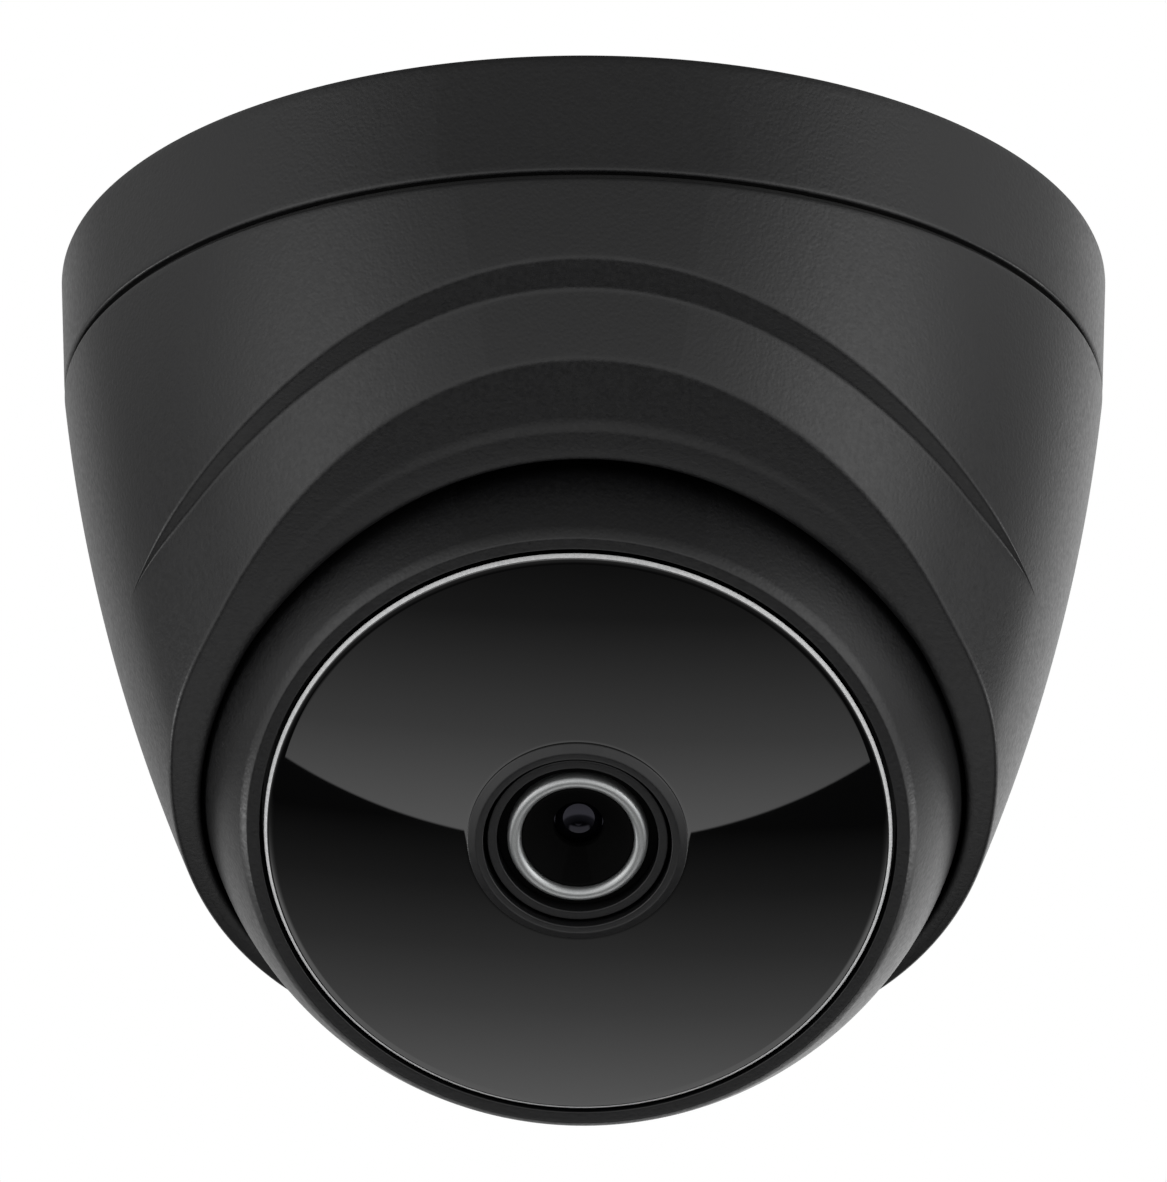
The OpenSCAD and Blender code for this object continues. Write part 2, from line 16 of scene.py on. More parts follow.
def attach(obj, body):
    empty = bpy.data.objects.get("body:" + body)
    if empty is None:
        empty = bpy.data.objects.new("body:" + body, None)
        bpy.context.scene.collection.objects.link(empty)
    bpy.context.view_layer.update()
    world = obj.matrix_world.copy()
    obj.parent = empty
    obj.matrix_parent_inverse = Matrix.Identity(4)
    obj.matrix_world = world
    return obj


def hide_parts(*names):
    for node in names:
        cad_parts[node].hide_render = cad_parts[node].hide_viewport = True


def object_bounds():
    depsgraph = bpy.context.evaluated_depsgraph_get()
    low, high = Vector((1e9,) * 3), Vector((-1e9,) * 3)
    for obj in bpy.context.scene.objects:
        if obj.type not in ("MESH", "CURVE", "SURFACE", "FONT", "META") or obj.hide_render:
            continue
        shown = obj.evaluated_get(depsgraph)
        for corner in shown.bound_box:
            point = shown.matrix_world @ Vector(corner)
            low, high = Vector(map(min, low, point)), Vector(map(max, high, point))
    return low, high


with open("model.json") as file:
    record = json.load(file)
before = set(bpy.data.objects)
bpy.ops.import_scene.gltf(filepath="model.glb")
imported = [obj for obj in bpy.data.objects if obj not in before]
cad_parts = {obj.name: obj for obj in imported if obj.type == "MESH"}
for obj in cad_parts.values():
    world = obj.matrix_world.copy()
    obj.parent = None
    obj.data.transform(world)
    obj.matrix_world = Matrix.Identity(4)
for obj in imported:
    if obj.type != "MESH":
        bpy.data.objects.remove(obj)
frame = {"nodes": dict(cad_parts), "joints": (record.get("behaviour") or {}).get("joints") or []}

cad_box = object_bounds()
scene = bpy.context.scene
MM = 0.001


# ---- Mounting base ---------------------------------------------------------------------------
# A shallow cup of injection-moulded black ABS that is screwed to the ceiling. Its band shows, and
# a slotted snap ring under its plate carries the housing. The moulding tool is spark-eroded, which
# leaves a fine leathery grain on every outer face.

def rounded(corners, arc_steps=5):
    """Closed outline through corners (r, z, rounding): a corner P turns into the curve
    (1-t)^2 A + 2t(1-t) P + t^2 B between the points A and B that lie the rounding away from P on
    its two sides, with one more point at twice that distance to keep the flats flat."""
    c = np.array(corners, float)
    points, size = c[:, :2], c[:, 2]
    t = np.linspace(0, 1, arc_steps + 1)[:, None]
    out = []
    for i, p in enumerate(points):
        before, after = points[i - 1] - p, points[(i + 1) % len(points)] - p
        if size[i] == 0:
            out.append(p[None])
            continue
        a, b = before / np.linalg.norm(before), after / np.linalg.norm(after)
        lead_in = min(2 * size[i], 0.49 * np.linalg.norm(before))
        lead_out = min(2 * size[i], 0.49 * np.linalg.norm(after))
        arc = (1 - t) ** 2 * (p + a * size[i]) + 2 * t * (1 - t) * p + t ** 2 * (p + b * size[i])
        out += [(p + a * lead_in)[None], arc, (p + b * lead_out)[None]]
    return np.concatenate(out)


def grid_mesh(name, points, sharp_deg=50):
    """Mesh of a grid of points in millimetres that closes both ways: the point in row i and
    column j joins row i+1 and column j+1, and the last of each joins the first. Points that meet,
    as at a pole, are merged, and every face is turned outwards."""
    rows, cols = points.shape[:2]
    i, j = np.meshgrid(np.arange(rows), np.arange(cols), indexing="ij")

    def at(a, b):
        return (a % rows) * cols + b % cols

    quads = np.stack([at(i, j), at(i + 1, j), at(i + 1, j + 1), at(i, j + 1)], -1).reshape(-1, 4)
    mesh = bpy.data.meshes.new(name)
    mesh.from_pydata((points.reshape(-1, 3) * MM).tolist(), [], quads.tolist())
    bm = bmesh.new()
    bm.from_mesh(mesh)
    bmesh.ops.remove_doubles(bm, verts=bm.verts, dist=2e-7)
    bmesh.ops.recalc_face_normals(bm, faces=bm.faces)
    bm.to_mesh(mesh)
    bm.free()
    mesh.shade_smooth()
    mesh.set_sharp_from_angle(angle=math.radians(sharp_deg))
    return mesh


def lathe(name, outline, place=Matrix.Identity(4), around=240):
    """Surface of revolution: the outline's point (r, z) at the angle a lies at
    (r cos a, r sin a, z), and place, in millimetres, carries it into the frame."""
    r, z = outline.T
    a = np.linspace(0, 2 * np.pi, around, endpoint=False)[:, None]
    xyz = np.stack([r * np.cos(a), r * np.sin(a), z + 0 * a], -1)
    turn, shift = np.array(place.to_3x3()), np.array(place.translation)
    return grid_mesh(name, xyz @ turn.T + shift)


def piece(mesh, body, slot, material, *nodes):
    """The object that shows a mesh: it rides on a body and stands for the CAD nodes named."""
    obj = bpy.data.objects.new(mesh.name, mesh)
    scene.collection.objects.link(obj)
    mesh.materials.append(material)
    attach(obj, body)
    if nodes:
        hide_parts(*nodes)
    return obj


def cut(obj, tool, how="DIFFERENCE"):
    """Cuts a tool mesh out of an object, or joins it on, and throws the tool away."""
    other = bpy.data.objects.new("tool", tool)
    scene.collection.objects.link(other)
    step = obj.modifiers.new("cut", "BOOLEAN")
    step.operation, step.object, step.solver = how, other, "EXACT"
    bpy.context.view_layer.update()
    done = obj.evaluated_get(bpy.context.evaluated_depsgraph_get())
    solved = bpy.data.meshes.new_from_object(done)
    obj.modifiers.clear()
    name, old = obj.data.name, obj.data
    obj.data = solved
    bpy.data.meshes.remove(old)
    solved.name = name
    bpy.data.objects.remove(other)
    bpy.data.meshes.remove(tool)
    solved.set_sharp_from_angle(angle=math.radians(50))


def rod(r, low, high, at=(0, 0), place=Matrix.Identity(4), around=48):
    """A plain round cutting tool that stands on the given centre."""
    outline = np.array([[0, low], [r, low], [r, high], [0, high]], float)
    return lathe("tool", outline, place @ Matrix.Translation((*at, 0)), around)


def polar(r, degrees):
    return r * math.cos(math.radians(degrees)), r * math.sin(math.radians(degrees))


def colour(code):
    """Linear RGBA of an sRGB hex colour."""
    s = np.array([int(code[i:i + 2], 16) for i in (1, 3, 5)]) / 255
    return (*np.where(s <= 0.04045, s / 12.92, ((s + 0.055) / 1.055) ** 2.4), 1)


def add(tree, kind, sockets={}, stops=(), **settings):
    """Adds a shader node: settings are its own, and each socket gets a value, an output, or a node,
    whose first output is meant. A colour ramp's stops are (position, linear grey or hex)."""
    made = tree.nodes.new("ShaderNode" + kind)
    for key, value in settings.items():
        setattr(made, key, value)
    for key, value in sockets.items():
        if isinstance(value, bpy.types.Node):
            value = value.outputs[0]
        if isinstance(value, bpy.types.NodeSocket):
            tree.links.new(value, made.inputs[key])
        else:
            made.inputs[key].default_value = value
    if stops:
        marks = made.color_ramp.elements
        while len(marks) < len(stops):
            marks.new(0.5)
        for mark, (where, shade) in zip(marks, stops):
            mark.position = where
            mark.color = colour(shade) if isinstance(shade, str) else (shade, shade, shade, 1)
    return made


def material(name):
    """An empty material, its tree, and the object's own coordinates in millimetres."""
    made = bpy.data.materials.new(name)
    made.use_nodes = True
    tree = made.node_tree
    tree.nodes.clear()
    place = add(tree, "TexCoord").outputs["Object"]
    return made, tree, add(tree, "Mapping", {"Vector": place, "Scale": (1000, 1000, 1000)})


def shaded(tree, sockets):
    """Ends a material's tree in one Principled shader with these sockets."""
    shader = add(tree, "BsdfPrincipled", sockets)
    add(tree, "OutputMaterial", {"Surface": shader})


def grained_abs(name, dark, light, rough=0.38, grain_mm=0.27, depth_mm=0.016):
    """Black ABS from a spark-eroded tool: pits a quarter of a millimetre across, over a slower
    unevenness of the whole skin, with the crests a little smoother than the pits."""
    made, tree, mm = material(name)
    pits = add(tree, "TexVoronoi", {"Vector": mm, "Scale": 1 / grain_mm, "Randomness": 1.0},
               feature="SMOOTH_F1")
    skin = add(tree, "TexNoise", {"Vector": mm, "Scale": 1 / (1.6 * grain_mm), "Detail": 3.0,
                                  "Roughness": 0.6})
    slow = add(tree, "TexNoise", {"Vector": mm, "Scale": 1 / 9, "Detail": 2.0})
    height = add(tree, "Math", {0: pits, 1: skin}, operation="ADD")
    bump = add(tree, "Bump", {"Height": height, "Strength": 0.9, "Distance": depth_mm * MM})
    mixed = add(tree, "Math", {0: slow, 1: skin, 2: 0.5}, operation="MULTIPLY_ADD")
    shaded(tree, {
        "Base Color": add(tree, "ValToRGB", {"Fac": mixed}, stops=((0.45, dark), (0.95, light))),
        "Roughness": add(tree, "ValToRGB", {"Fac": skin},
                         stops=((0.3, rough - 0.05), (0.7, rough + 0.06))),
        "IOR": 1.53,
        "Normal": bump,
    })
    return made


base_abs = grained_abs("Moulded ABS, black, spark-eroded grain, base", "#161617", "#1c1c1d")

base_r, band_h, band_taper, base_wall = 42.7, 9.8, 0.5, 2.4
cable_hole_r, screw_hole_r, screw_circle_r = 9.0, 2.3, 31.0
boss_wall, boss_h, boss_root = 2.2, 2, 0.6
spigot_r, spigot_wall, snap_r, snap_z, snap_h = 37.6, 1.8, 38.9, -12.3, 1.5
gasket_out_r, gasket_in_r, gasket_t = 39.5, 36.5, 1.0
band_low_r = base_r - band_taper

base = piece(lathe("base_cup", rounded([
    (cable_hole_r, 0, 0.3), (gasket_in_r, 0, 0), (gasket_in_r, -gasket_t, 0),
    (gasket_out_r, -gasket_t, 0), (gasket_out_r, 0, 0), (base_r, 0, 0.55),
    (band_low_r, -band_h, 0.32), (band_low_r - base_wall, -band_h, 0.2),
    (band_low_r - base_wall, -base_wall, 0.5), (spigot_r, -base_wall, 0.2),
    (spigot_r, snap_z, 0.1), (snap_r, snap_z, 0.1), (snap_r, snap_z - snap_h / 2, 0.2),
    (spigot_r - 0.3, snap_z - snap_h, 0.1), (spigot_r - spigot_wall, snap_z - snap_h, 0.1),
    (spigot_r - spigot_wall, -base_wall, 0.4), (cable_hole_r, -base_wall, 0.2),
]), around=360), "base", "base_plastic", base_abs, "mounting_base")
for turn in (90, 210, 330):
    boss = polar(screw_circle_r, turn)
    cut(base, rod(screw_hole_r + boss_wall, -base_wall - boss_h, -base_wall + boss_root, boss),
        "UNION")
    cut(base, rod(screw_hole_r, -20, 5, boss))          # well past both faces


# ---- Ceiling gasket and glide ring ---------------------------------------------------------------
# The gasket is a flat ring of black nitrile rubber pressed into a groove in the ceiling face. The
# glide ring is a strip of acetal in the joint, on which the housing's edge turns; it lies back from
# the outer faces, so the joint shows as a dark line.

def rubber(name, shade, tone="#0e0e0e"):
    """Moulded rubber: dull and slightly blotched, with a fine bumpy skin."""
    made, tree, mm = material(name)
    blotch = add(tree, "TexNoise", {"Vector": mm, "Scale": 0.5, "Detail": 4.0})
    fine = add(tree, "TexNoise", {"Vector": mm, "Scale": 6.0, "Detail": 2.0})
    bump = add(tree, "Bump", {"Height": fine, "Strength": 0.4, "Distance": 0.02 * MM})
    shaded(tree, {
        "Base Color": add(tree, "ValToRGB", {"Fac": blotch}, stops=((0.35, tone), (0.7, shade))),
        "Roughness": 0.72, "IOR": 1.5, "Normal": bump,
    })
    return made


nitrile = rubber("Nitrile rubber, black", "#1a1a1a")
fit = 0.05
piece(lathe("ceiling_gasket_ring", rounded([
    (gasket_in_r + fit, -gasket_t, 0.1), (gasket_out_r - fit, -gasket_t, 0.1),
    (gasket_out_r - fit, 0, 0.15), (gasket_in_r + fit, 0, 0.15),
]), around=360), "base", "rubber_black", nitrile, "ceiling_gasket")

acetal = rubber("Acetal, black, turned", "#161616", "#101010")
joint_depth, glide_in_r, glide_t = 0.6, 40.0, 0.4
piece(lathe("glide_strip", rounded([
    (glide_in_r, -band_h - glide_t, 0.05), (band_low_r - joint_depth, -band_h - glide_t, 0.08),
    (band_low_r - joint_depth, -band_h, 0.05), (glide_in_r, -band_h, 0.05),
]), around=360), "base", "glide_plastic", acetal, "glide_ring")


# ---- Lower housing -------------------------------------------------------------------------------
# The bowl is one moulding in the same black ABS. In front, the face below the brow line is set back
# by a small step that fades out at the sides, and a curved slant cuts the mouth. Inside, a wall of
# even thickness leaves a hollow over the ball, and the mouth's shelf is the ball's seat.

def arc_centre(p, q, r):
    """Centre of the circle of radius r through p and q, to the left of the way from p to q."""
    p, q = np.array(p, float), np.array(q, float)
    d = q - p
    length = np.hypot(*d)
    return (p + q) / 2 + np.array([-d[1], d[0]]) / length * math.sqrt(r * r - length * length / 4)


bowl_top_z, flange_in_r, flange_h = -10.3, 37.9, 1.7
bowl_arc_r, shell_wall, shelf_t = 151.0, 2.0, 1.8
bowl_centre = arc_centre((27.9, -58.0), (band_low_r, bowl_top_z), bowl_arc_r)
ball_r, ball_gap, bore_gap = 31.07, 0.33, 0.63
ball_centre = Vector([j for j in frame["joints"] if j["name"] == "ball_tilt"][0]["pos_m"]) / MM
brow_set_back = 1.6
brow_r, mouth_r = 68.0, 126.0


def bowl_r(z, inset=0.0):
    """Radius of the bowl at the height z: one arc of a large circle."""
    return bowl_centre[0] + np.sqrt((bowl_arc_r - inset) ** 2 - (z - bowl_centre[1]) ** 2)


def face_r(front, z, inset=0.0):
    """Radius of the set-back face where the cosine of the angle from the front is front: the bowl
    moved back by s, which is -s front + sqrt(R^2 - s^2 (1 - front^2)), and never outside the bowl.
    On the outer face, s runs out where front falls from 0.62 to 0.3, as u^2 (3 - 2u) of that."""
    u = np.clip((front - 0.3) / 0.32, 0, 1) if inset == 0 else 1.0
    r, s = bowl_r(z, inset), brow_set_back * u * u * (3 - 2 * u)
    return np.minimum(r, -s * front + np.sqrt(r * r - s * s * (1 - front * front)))


brow = arc_centre((-bowl_r(-16.7), -16.7), (0, -34.5), brow_r)
mouth = arc_centre((brow_set_back - bowl_r(-23.8), -23.8), (0, -48.9), mouth_r)


def crossing(centre, radius, surface, front, top=bowl_top_z, low=-69.0):
    """Height at which a surface's line at each angle leaves the bar of that radius across the
    housing: the bar's rule (y - yc)^2 + (z - zc)^2 = radius^2, halved in on 40 times."""
    a, b = np.full_like(front, top), np.full_like(front, low)
    for _ in range(40):
        z = (a + b) / 2
        y = -surface(front, z) * front
        inside = (y - centre[0]) ** 2 + (z - centre[1]) ** 2 < radius ** 2
        a, b = np.where(inside, z, a), np.where(inside, b, z)
    return (a + b) / 2


def seat_r(z):
    """Radius of the opening round the ball: the upright bore, which runs smoothly into the
    spherical seat below the ball's middle."""
    below = np.maximum(0, ball_centre.z - z)
    bore, seat = ball_r + bore_gap, ball_r + ball_gap
    ease = 1 - (1 - np.clip(below / 6, 0, 1)) ** 3
    return np.sqrt(np.maximum(seat ** 2 - below ** 2, 1)) + (bore - seat) * (1 - ease)


def eased(a, corner, b, steps):
    """Curve (1-t)^2 a + 2t(1-t) corner + t^2 b at every angle."""
    t = np.linspace(0, 1, steps)[:, None, None]
    return (1 - t) ** 2 * a + 2 * t * (1 - t) * corner + t ** 2 * b


def housing_points(around=480):
    """Closed section of the housing at every angle, from the inner edge of its top round the
    outside, over the brow step and the mouth, and back up the inside. Each stretch is a run of
    (r, z) pairs. The edges are eased over a quarter of a millimetre, and the mouth's face rolls
    over towards the ball along its inner three millimetres."""
    a = np.linspace(0, 2 * np.pi, around, endpoint=False)
    front = np.cos(a)

    def run(r, z):
        return np.stack([r + 0 * front, z + 0 * front], -1)

    def down(surface, z_from, z_to, steps):
        t = np.linspace(0, 1, steps)[:, None]
        z = z_from * (1 - t) + z_to * t
        return np.stack([surface(front, z), z], -1)

    def bar_face(centre, radius, r_from, r_to, steps):
        t = np.linspace(0, 1, steps)[:, None]
        r = r_from * (1 - t) + r_to * t
        return np.stack([r, centre[1] - np.sqrt(radius ** 2 - (-r * front - centre[0]) ** 2)], -1)

    whole = lambda f, z: bowl_r(z) + 0 * f
    brow_z = crossing(brow, brow_r, whole, front)
    foot_z = crossing(brow, brow_r, face_r, front)
    lip_z = crossing(mouth, mouth_r, face_r, front)
    inner_z = crossing(mouth, mouth_r, lambda f, z: seat_r(z) + 0 * f, front)
    brow_z = np.maximum(brow_z, lip_z + 1.2)
    foot_z = np.clip(foot_z, lip_z + 1.0, brow_z - 0.02)
    edge = run(bowl_r(brow_z), brow_z)
    foot = run(face_r(front, foot_z), foot_z)
    step = np.linalg.norm(edge - foot, axis=-1, keepdims=True)
    ease = np.minimum(0.3, 0.4 * step)
    above = run(bowl_r(brow_z + ease[:, 0]), brow_z + ease[:, 0])
    beneath = run(face_r(front, foot_z - ease[:, 0]), foot_z - ease[:, 0])
    across = (foot - edge) / np.maximum(step, 1e-6)
    lip = run(face_r(front, lip_z), lip_z)
    lip_up = run(face_r(front, lip_z + 0.35), lip_z + 0.35)
    inner = run(seat_r(inner_z), inner_z)
    width = np.linalg.norm(inner - lip, axis=-1, keepdims=True)
    inward = (inner - lip) / width
    roll = np.minimum(3, 0.5 * width)
    inner_up = run(seat_r(inner_z + 0.55), inner_z + 0.55)
    top = run(bowl_r(np.array(bowl_top_z)), bowl_top_z)

    def shelf_z(r):
        arc = mouth[1] - np.sqrt((mouth_r - shelf_t) ** 2 - (-r * front - mouth[0]) ** 2)
        return np.maximum(arc, ball_centre.z - 1.5)

    flange_low_z = bowl_top_z - flange_h
    shelf_in_r = seat_r(np.maximum(inner_z + shelf_t, ball_centre.z))
    wall_r = lambda f, z: face_r(f, z, shell_wall)
    corner_z = shelf_z(wall_r(front, shelf_z(shelf_in_r + 3)))
    parts = [
        run(flange_in_r, bowl_top_z)[None],
        eased(top - [0.3, 0], top, run(bowl_r(np.array(bowl_top_z - 0.3)), bowl_top_z - 0.3), 6),
        down(whole, bowl_top_z - 0.6, brow_z + 2 * ease[:, 0], 28),
        eased(above, edge, edge + across * ease, 6),
        eased(foot - across * ease, foot, beneath, 6),
        down(face_r, foot_z - 2 * ease[:, 0] - 0.02, lip_z + 0.8, 30),
        eased(lip_up, lip, lip + inward * 0.35, 7),
        bar_face(mouth, mouth_r, (lip + inward * 0.8)[..., 0],
                 (inner - inward * (roll + 0.2))[..., 0], 6),
        eased(inner - inward * roll, inner, inner_up, 16),
        down(lambda f, z: seat_r(z) + 0 * f, inner_z + 0.7, shelf_z(shelf_in_r), 10),
        run(wall_r(front, corner_z), corner_z)[None],
        down(wall_r, corner_z + 0.3, flange_low_z, 16),
        run(flange_in_r, flange_low_z)[None],
    ]
    section = np.concatenate(parts)
    r, z = section[..., 0], section[..., 1]
    return np.stack([r * np.sin(a), -r * front, z], -1)


housing_abs = grained_abs("Moulded ABS, black, spark-eroded grain, housing", "#161617", "#1c1c1d")
piece(grid_mesh("bowl_housing", housing_points(), 60), "housing", "housing_plastic", housing_abs,
      "lower_housing")


# ---- Retainer, its screws and the friction ring --------------------------------------------------
# A pressed steel ring, zinc plated and held by three screws, keeps the ball and its friction ring
# down in the seat. The friction ring is glass-filled nylon, and its lining is a thin band of
# rubber-cork that brakes the ball. They are hidden in the housing.

def dress(paint, *nodes):
    """Gives CAD nodes a material."""
    for name in nodes:
        mesh = frame["nodes"][name].data
        mesh.materials.clear()
        mesh.materials.append(paint)


def plated_steel(name, shade, dull):
    """Bright zinc plate on pressed or turned steel: a grey metal with a fine crystal mottling."""
    made, tree, mm = material(name)
    crystal = add(tree, "TexVoronoi", {"Vector": mm, "Scale": 2.2, "Randomness": 1.0})
    fine = add(tree, "TexNoise", {"Vector": mm, "Scale": 9.0, "Detail": 3.0})
    bump = add(tree, "Bump", {"Height": fine, "Strength": 0.3, "Distance": 0.01 * MM})
    shaded(tree, {
        "Base Color": add(tree, "ValToRGB", {"Fac": crystal}, stops=((0.1, shade), (0.8, dull))),
        "Metallic": 1.0,
        "Roughness": add(tree, "ValToRGB", {"Fac": fine}, stops=((0.3, 0.26), (0.7, 0.42))),
        "Normal": bump,
    })
    return made


zinc = plated_steel("Zinc-plated steel", "#b4b6ba", "#8f9296")
dress(zinc, "retainer_ring", "retainer_screws", "gland_clip", "shell_screws", "board_screws",
      "led_board_screws")
filled_nylon = grained_abs("Glass-filled nylon, black, moulded", "#151515", "#202020", rough=0.5,
                           grain_mm=0.6, depth_mm=0.008)
dress(filled_nylon, "friction_ring", "lens_holder")
lining = rubber("Rubber-bonded cork lining", "#3a2c20", "#16120e")
dress(lining, "friction_lining")


# ---- Cable hub and signal lead -------------------------------------------------------------------
# A silicone rubber plug in the back of the ball, round which the ball rolls; the cable passes
# through it. The lead behind it has a PVC jacket.

silicone = rubber("Silicone rubber, black", "#202020", "#141414")
dress(silicone, "cable_gland")
jacket = rubber("PVC cable jacket, black", "#1c1c1c", "#121212")
dress(jacket, "signal_lead")


# ---- Ball shells ---------------------------------------------------------------------------------
# Two half shells in the same grained ABS, closed on an O-ring and screwed together from behind. The
# front one ends in a narrow flat rim round the recess for the window.

roll = [j for j in frame["joints"] if j["name"] == "ball_roll"][0]
lens_axis = Vector(roll["axis"]).normalized()
tilt_axis = Vector([j for j in frame["joints"] if j["name"] == "ball_tilt"][0]["axis"]).normalized()
up_axis = lens_axis.cross(tilt_axis)
ball_turn = Matrix((tilt_axis, up_axis, lens_axis)).transposed()
to_ball = Matrix.Translation(ball_centre) @ ball_turn.to_4x4()

ball_wall, rim_ease, rim_w, ledge_t, ledge_reach = 2.2, 0.3, 0.9, 1.8, 2.5
window_gap, window_proud, window_t, tape_t = 0.35, 0.2, 2.1, 0.2
inner_r, seam_w, face_w = ball_r - ball_wall, -3.0, 16.96
rim_r = math.sqrt(ball_r ** 2 - face_w ** 2) - rim_ease
recess_r = rim_r - rim_w
window_r = recess_r - window_gap
window_edge_w = face_w + window_proud
window_back_w = window_edge_w - window_t
ledge_front_w = window_back_w - tape_t
ledge_back_w = ledge_front_w - ledge_t
ledge_r = recess_r - ledge_reach


def ball_arc(r, w_from, w_to, steps):
    """Meridian of a sphere between two heights, at even angles."""
    a = np.linspace(math.asin(w_from / r), math.asin(w_to / r), steps)
    return np.stack([r * np.cos(a), r * np.sin(a)], -1)


ball_abs = grained_abs("Moulded ABS, black, spark-eroded grain, ball", "#161617", "#1b1b1c")
rim_start_w = face_w - 0.5
rim_start_r = math.sqrt(ball_r ** 2 - rim_start_w ** 2)
inner_top_r = math.sqrt(inner_r ** 2 - ledge_back_w ** 2)
rim = rounded([
    (rim_start_r, rim_start_w, 0), (rim_r + 0.06, face_w, 0.13), (recess_r, face_w, 0.13),
    (recess_r, ledge_front_w, 0.1), (ledge_r, ledge_front_w, 0.15), (ledge_r, ledge_back_w, 0.15),
    (inner_top_r, ledge_back_w, 0),
], 6)
piece(lathe("ball_front", np.concatenate([
    ball_arc(ball_r, seam_w + 0.05, rim_start_w, 60)[:-1], rim,
    ball_arc(inner_r, ledge_back_w, seam_w + 0.05, 30)[1:],
]), to_ball, 360), "eyeball", "ball_plastic", ball_abs, "front_shell")

hub_hole_r, hub_well_r, hub_boss_r, hub_seat_w, hub_boss_w = 3.25, 4.5, 6.0, -30.27, -27.17
low_out_w = -math.sqrt(ball_r ** 2 - hub_well_r ** 2)
low_in_w = -math.sqrt(inner_r ** 2 - hub_boss_r ** 2)
ball_rear = piece(lathe("ball_rear", np.concatenate([
    ball_arc(ball_r, low_out_w, seam_w, 60),
    ball_arc(inner_r, seam_w, low_in_w, 40),
    np.array([[hub_boss_r, hub_boss_w], [hub_hole_r, hub_boss_w], [hub_hole_r, hub_seat_w],
              [hub_well_r, hub_seat_w]]),
]), to_ball, 360), "eyeball", "ball_plastic", ball_abs, "rear_shell")
screw_at_r, pocket_r, pocket_end_w = inner_r - 2.6, 2.2, -12.0
for turn in (30, 150, 270):
    cut(ball_rear, rod(pocket_r, -ball_r, pocket_end_w, polar(screw_at_r, turn), to_ball, 40))
dress(nitrile, "shell_seal")


# ---- Window --------------------------------------------------------------------------------------
# A disc of black cast acrylic that lets infrared through, gently crowned, polished and coated. Its
# edge is chamfered after that, and the chamfer is painted near-white as a painted highlight: the
# bright line of light along the window's edge. It lies on a ring of bonding tape, and a foam tube
# behind it keeps the lamps' light out of the lens.

crown, lens_hole_r = 0.6, 8.05
window_mid_w = window_edge_w + crown
crown_r = (window_r ** 2 + crown ** 2) / (2 * crown)


def crown_w(r):
    """Height of the crowned face: one shallow arc about the lens axis."""
    return window_mid_w - crown_r + np.sqrt(crown_r ** 2 - np.asarray(r) ** 2)


acrylic, tree, mm = material("Cast acrylic, black, polished and hard-coated")
ripple = add(tree, "TexNoise", {"Vector": mm, "Scale": 0.12, "Detail": 1.0})
bump = add(tree, "Bump", {"Height": ripple, "Strength": 0.1, "Distance": 0.01 * MM})
tone = add(tree, "ValToRGB", {"Fac": ripple}, stops=((0.3, "#050506"), (0.7, "#070708")))
shaded(tree, {"Base Color": tone, "Roughness": 0.012, "IOR": 1.49, "Normal": bump,
              "Coat Weight": 1.0, "Coat Roughness": 0.006, "Coat IOR": 1.75})
# The chamfer's near-white colour is a painted highlight for the bright line of light along the
# window's edge.
chamfer_highlight_paint, tree, mm = material("Cast acrylic, chamfer, painted highlight")
chamfer_noise = add(tree, "TexNoise", {"Vector": mm, "Scale": 5.0, "Detail": 3.0})
bump = add(tree, "Bump", {"Height": chamfer_noise, "Strength": 0.4, "Distance": 0.01 * MM})
tone = add(tree, "ValToRGB", {"Fac": chamfer_noise}, stops=((0.3, "#d4d5d6"), (0.7, "#f0f0f0")))
shaded(tree, {"Base Color": tone, "Roughness": 0.4, "IOR": 1.49, "Normal": bump})
chamfer_r, chamfer_foot_w = window_r - 0.26, window_edge_w - 0.28
crown_run = np.linspace(window_r - 0.4, lens_hole_r + 0.4, 40)
window = piece(lathe("window_disc", np.concatenate([
    np.array([[lens_hole_r, window_back_w], [window_r - 0.2, window_back_w],
              [window_r, window_back_w + 0.2], [window_r, chamfer_foot_w],
              [window_r - 0.08, window_edge_w - 0.19], [chamfer_r, window_edge_w - 0.03]]),
    np.stack([crown_run, crown_w(crown_run)], -1),
    np.array([[lens_hole_r + 0.1, crown_w(lens_hole_r) - 0.02],
              [lens_hole_r, crown_w(lens_hole_r) - 0.12]]),
]), to_ball, 360), "eyeball", "window_acrylic", acrylic, "front_window")
window.data.materials.append(chamfer_highlight_paint)
to_window = to_ball.inverted()
# The chamfer's faces get the second material, the painted highlight.
for face in window.data.polygons:
    spot = to_window @ (face.center / MM)
    if spot.xy.length > chamfer_r and spot.z > chamfer_foot_w:
        face.material_index = 1
foam = rubber("Closed-cell foam, black", "#171717", "#0b0b0b")
dress(foam, "window_tape", "light_baffle")


# ---- Lens collar ---------------------------------------------------------------------------------
# A raised ring in satin black ABS that is pressed into the window's hole and frames the lens.

collar_abs = grained_abs("Moulded ABS, black, satin, collar", "#1b1b1c", "#232324", rough=0.34,
                         grain_mm=0.2, depth_mm=0.004)
collar_in_r, collar_top_r, collar_out_r = 7.35, 7.9, 8.6
collar_foot_w, collar_base_w, collar_h = window_back_w - 1.5, window_mid_w - 0.05, 0.5
piece(lathe("collar_ring", rounded([
    (collar_in_r, collar_foot_w, 0.08), (lens_hole_r - fit, collar_foot_w, 0.08),
    (lens_hole_r - fit, collar_base_w - 0.02, 0), (collar_out_r, collar_base_w - 0.02, 0.03),
    (collar_out_r, collar_base_w + 0.12, 0.07), (collar_top_r, collar_base_w + collar_h, 0.12),
    (collar_in_r, collar_base_w + collar_h, 0.12),
]), to_ball, 240), "eyeball", "collar_plastic", collar_abs, "lens_collar")


# ---- Lens ----------------------------------------------------------------------------------------
# A small board lens: an aluminium barrel, black anodised, with a black cone let into its head under
# a pale turned ring, and coated glass elements behind the cone.

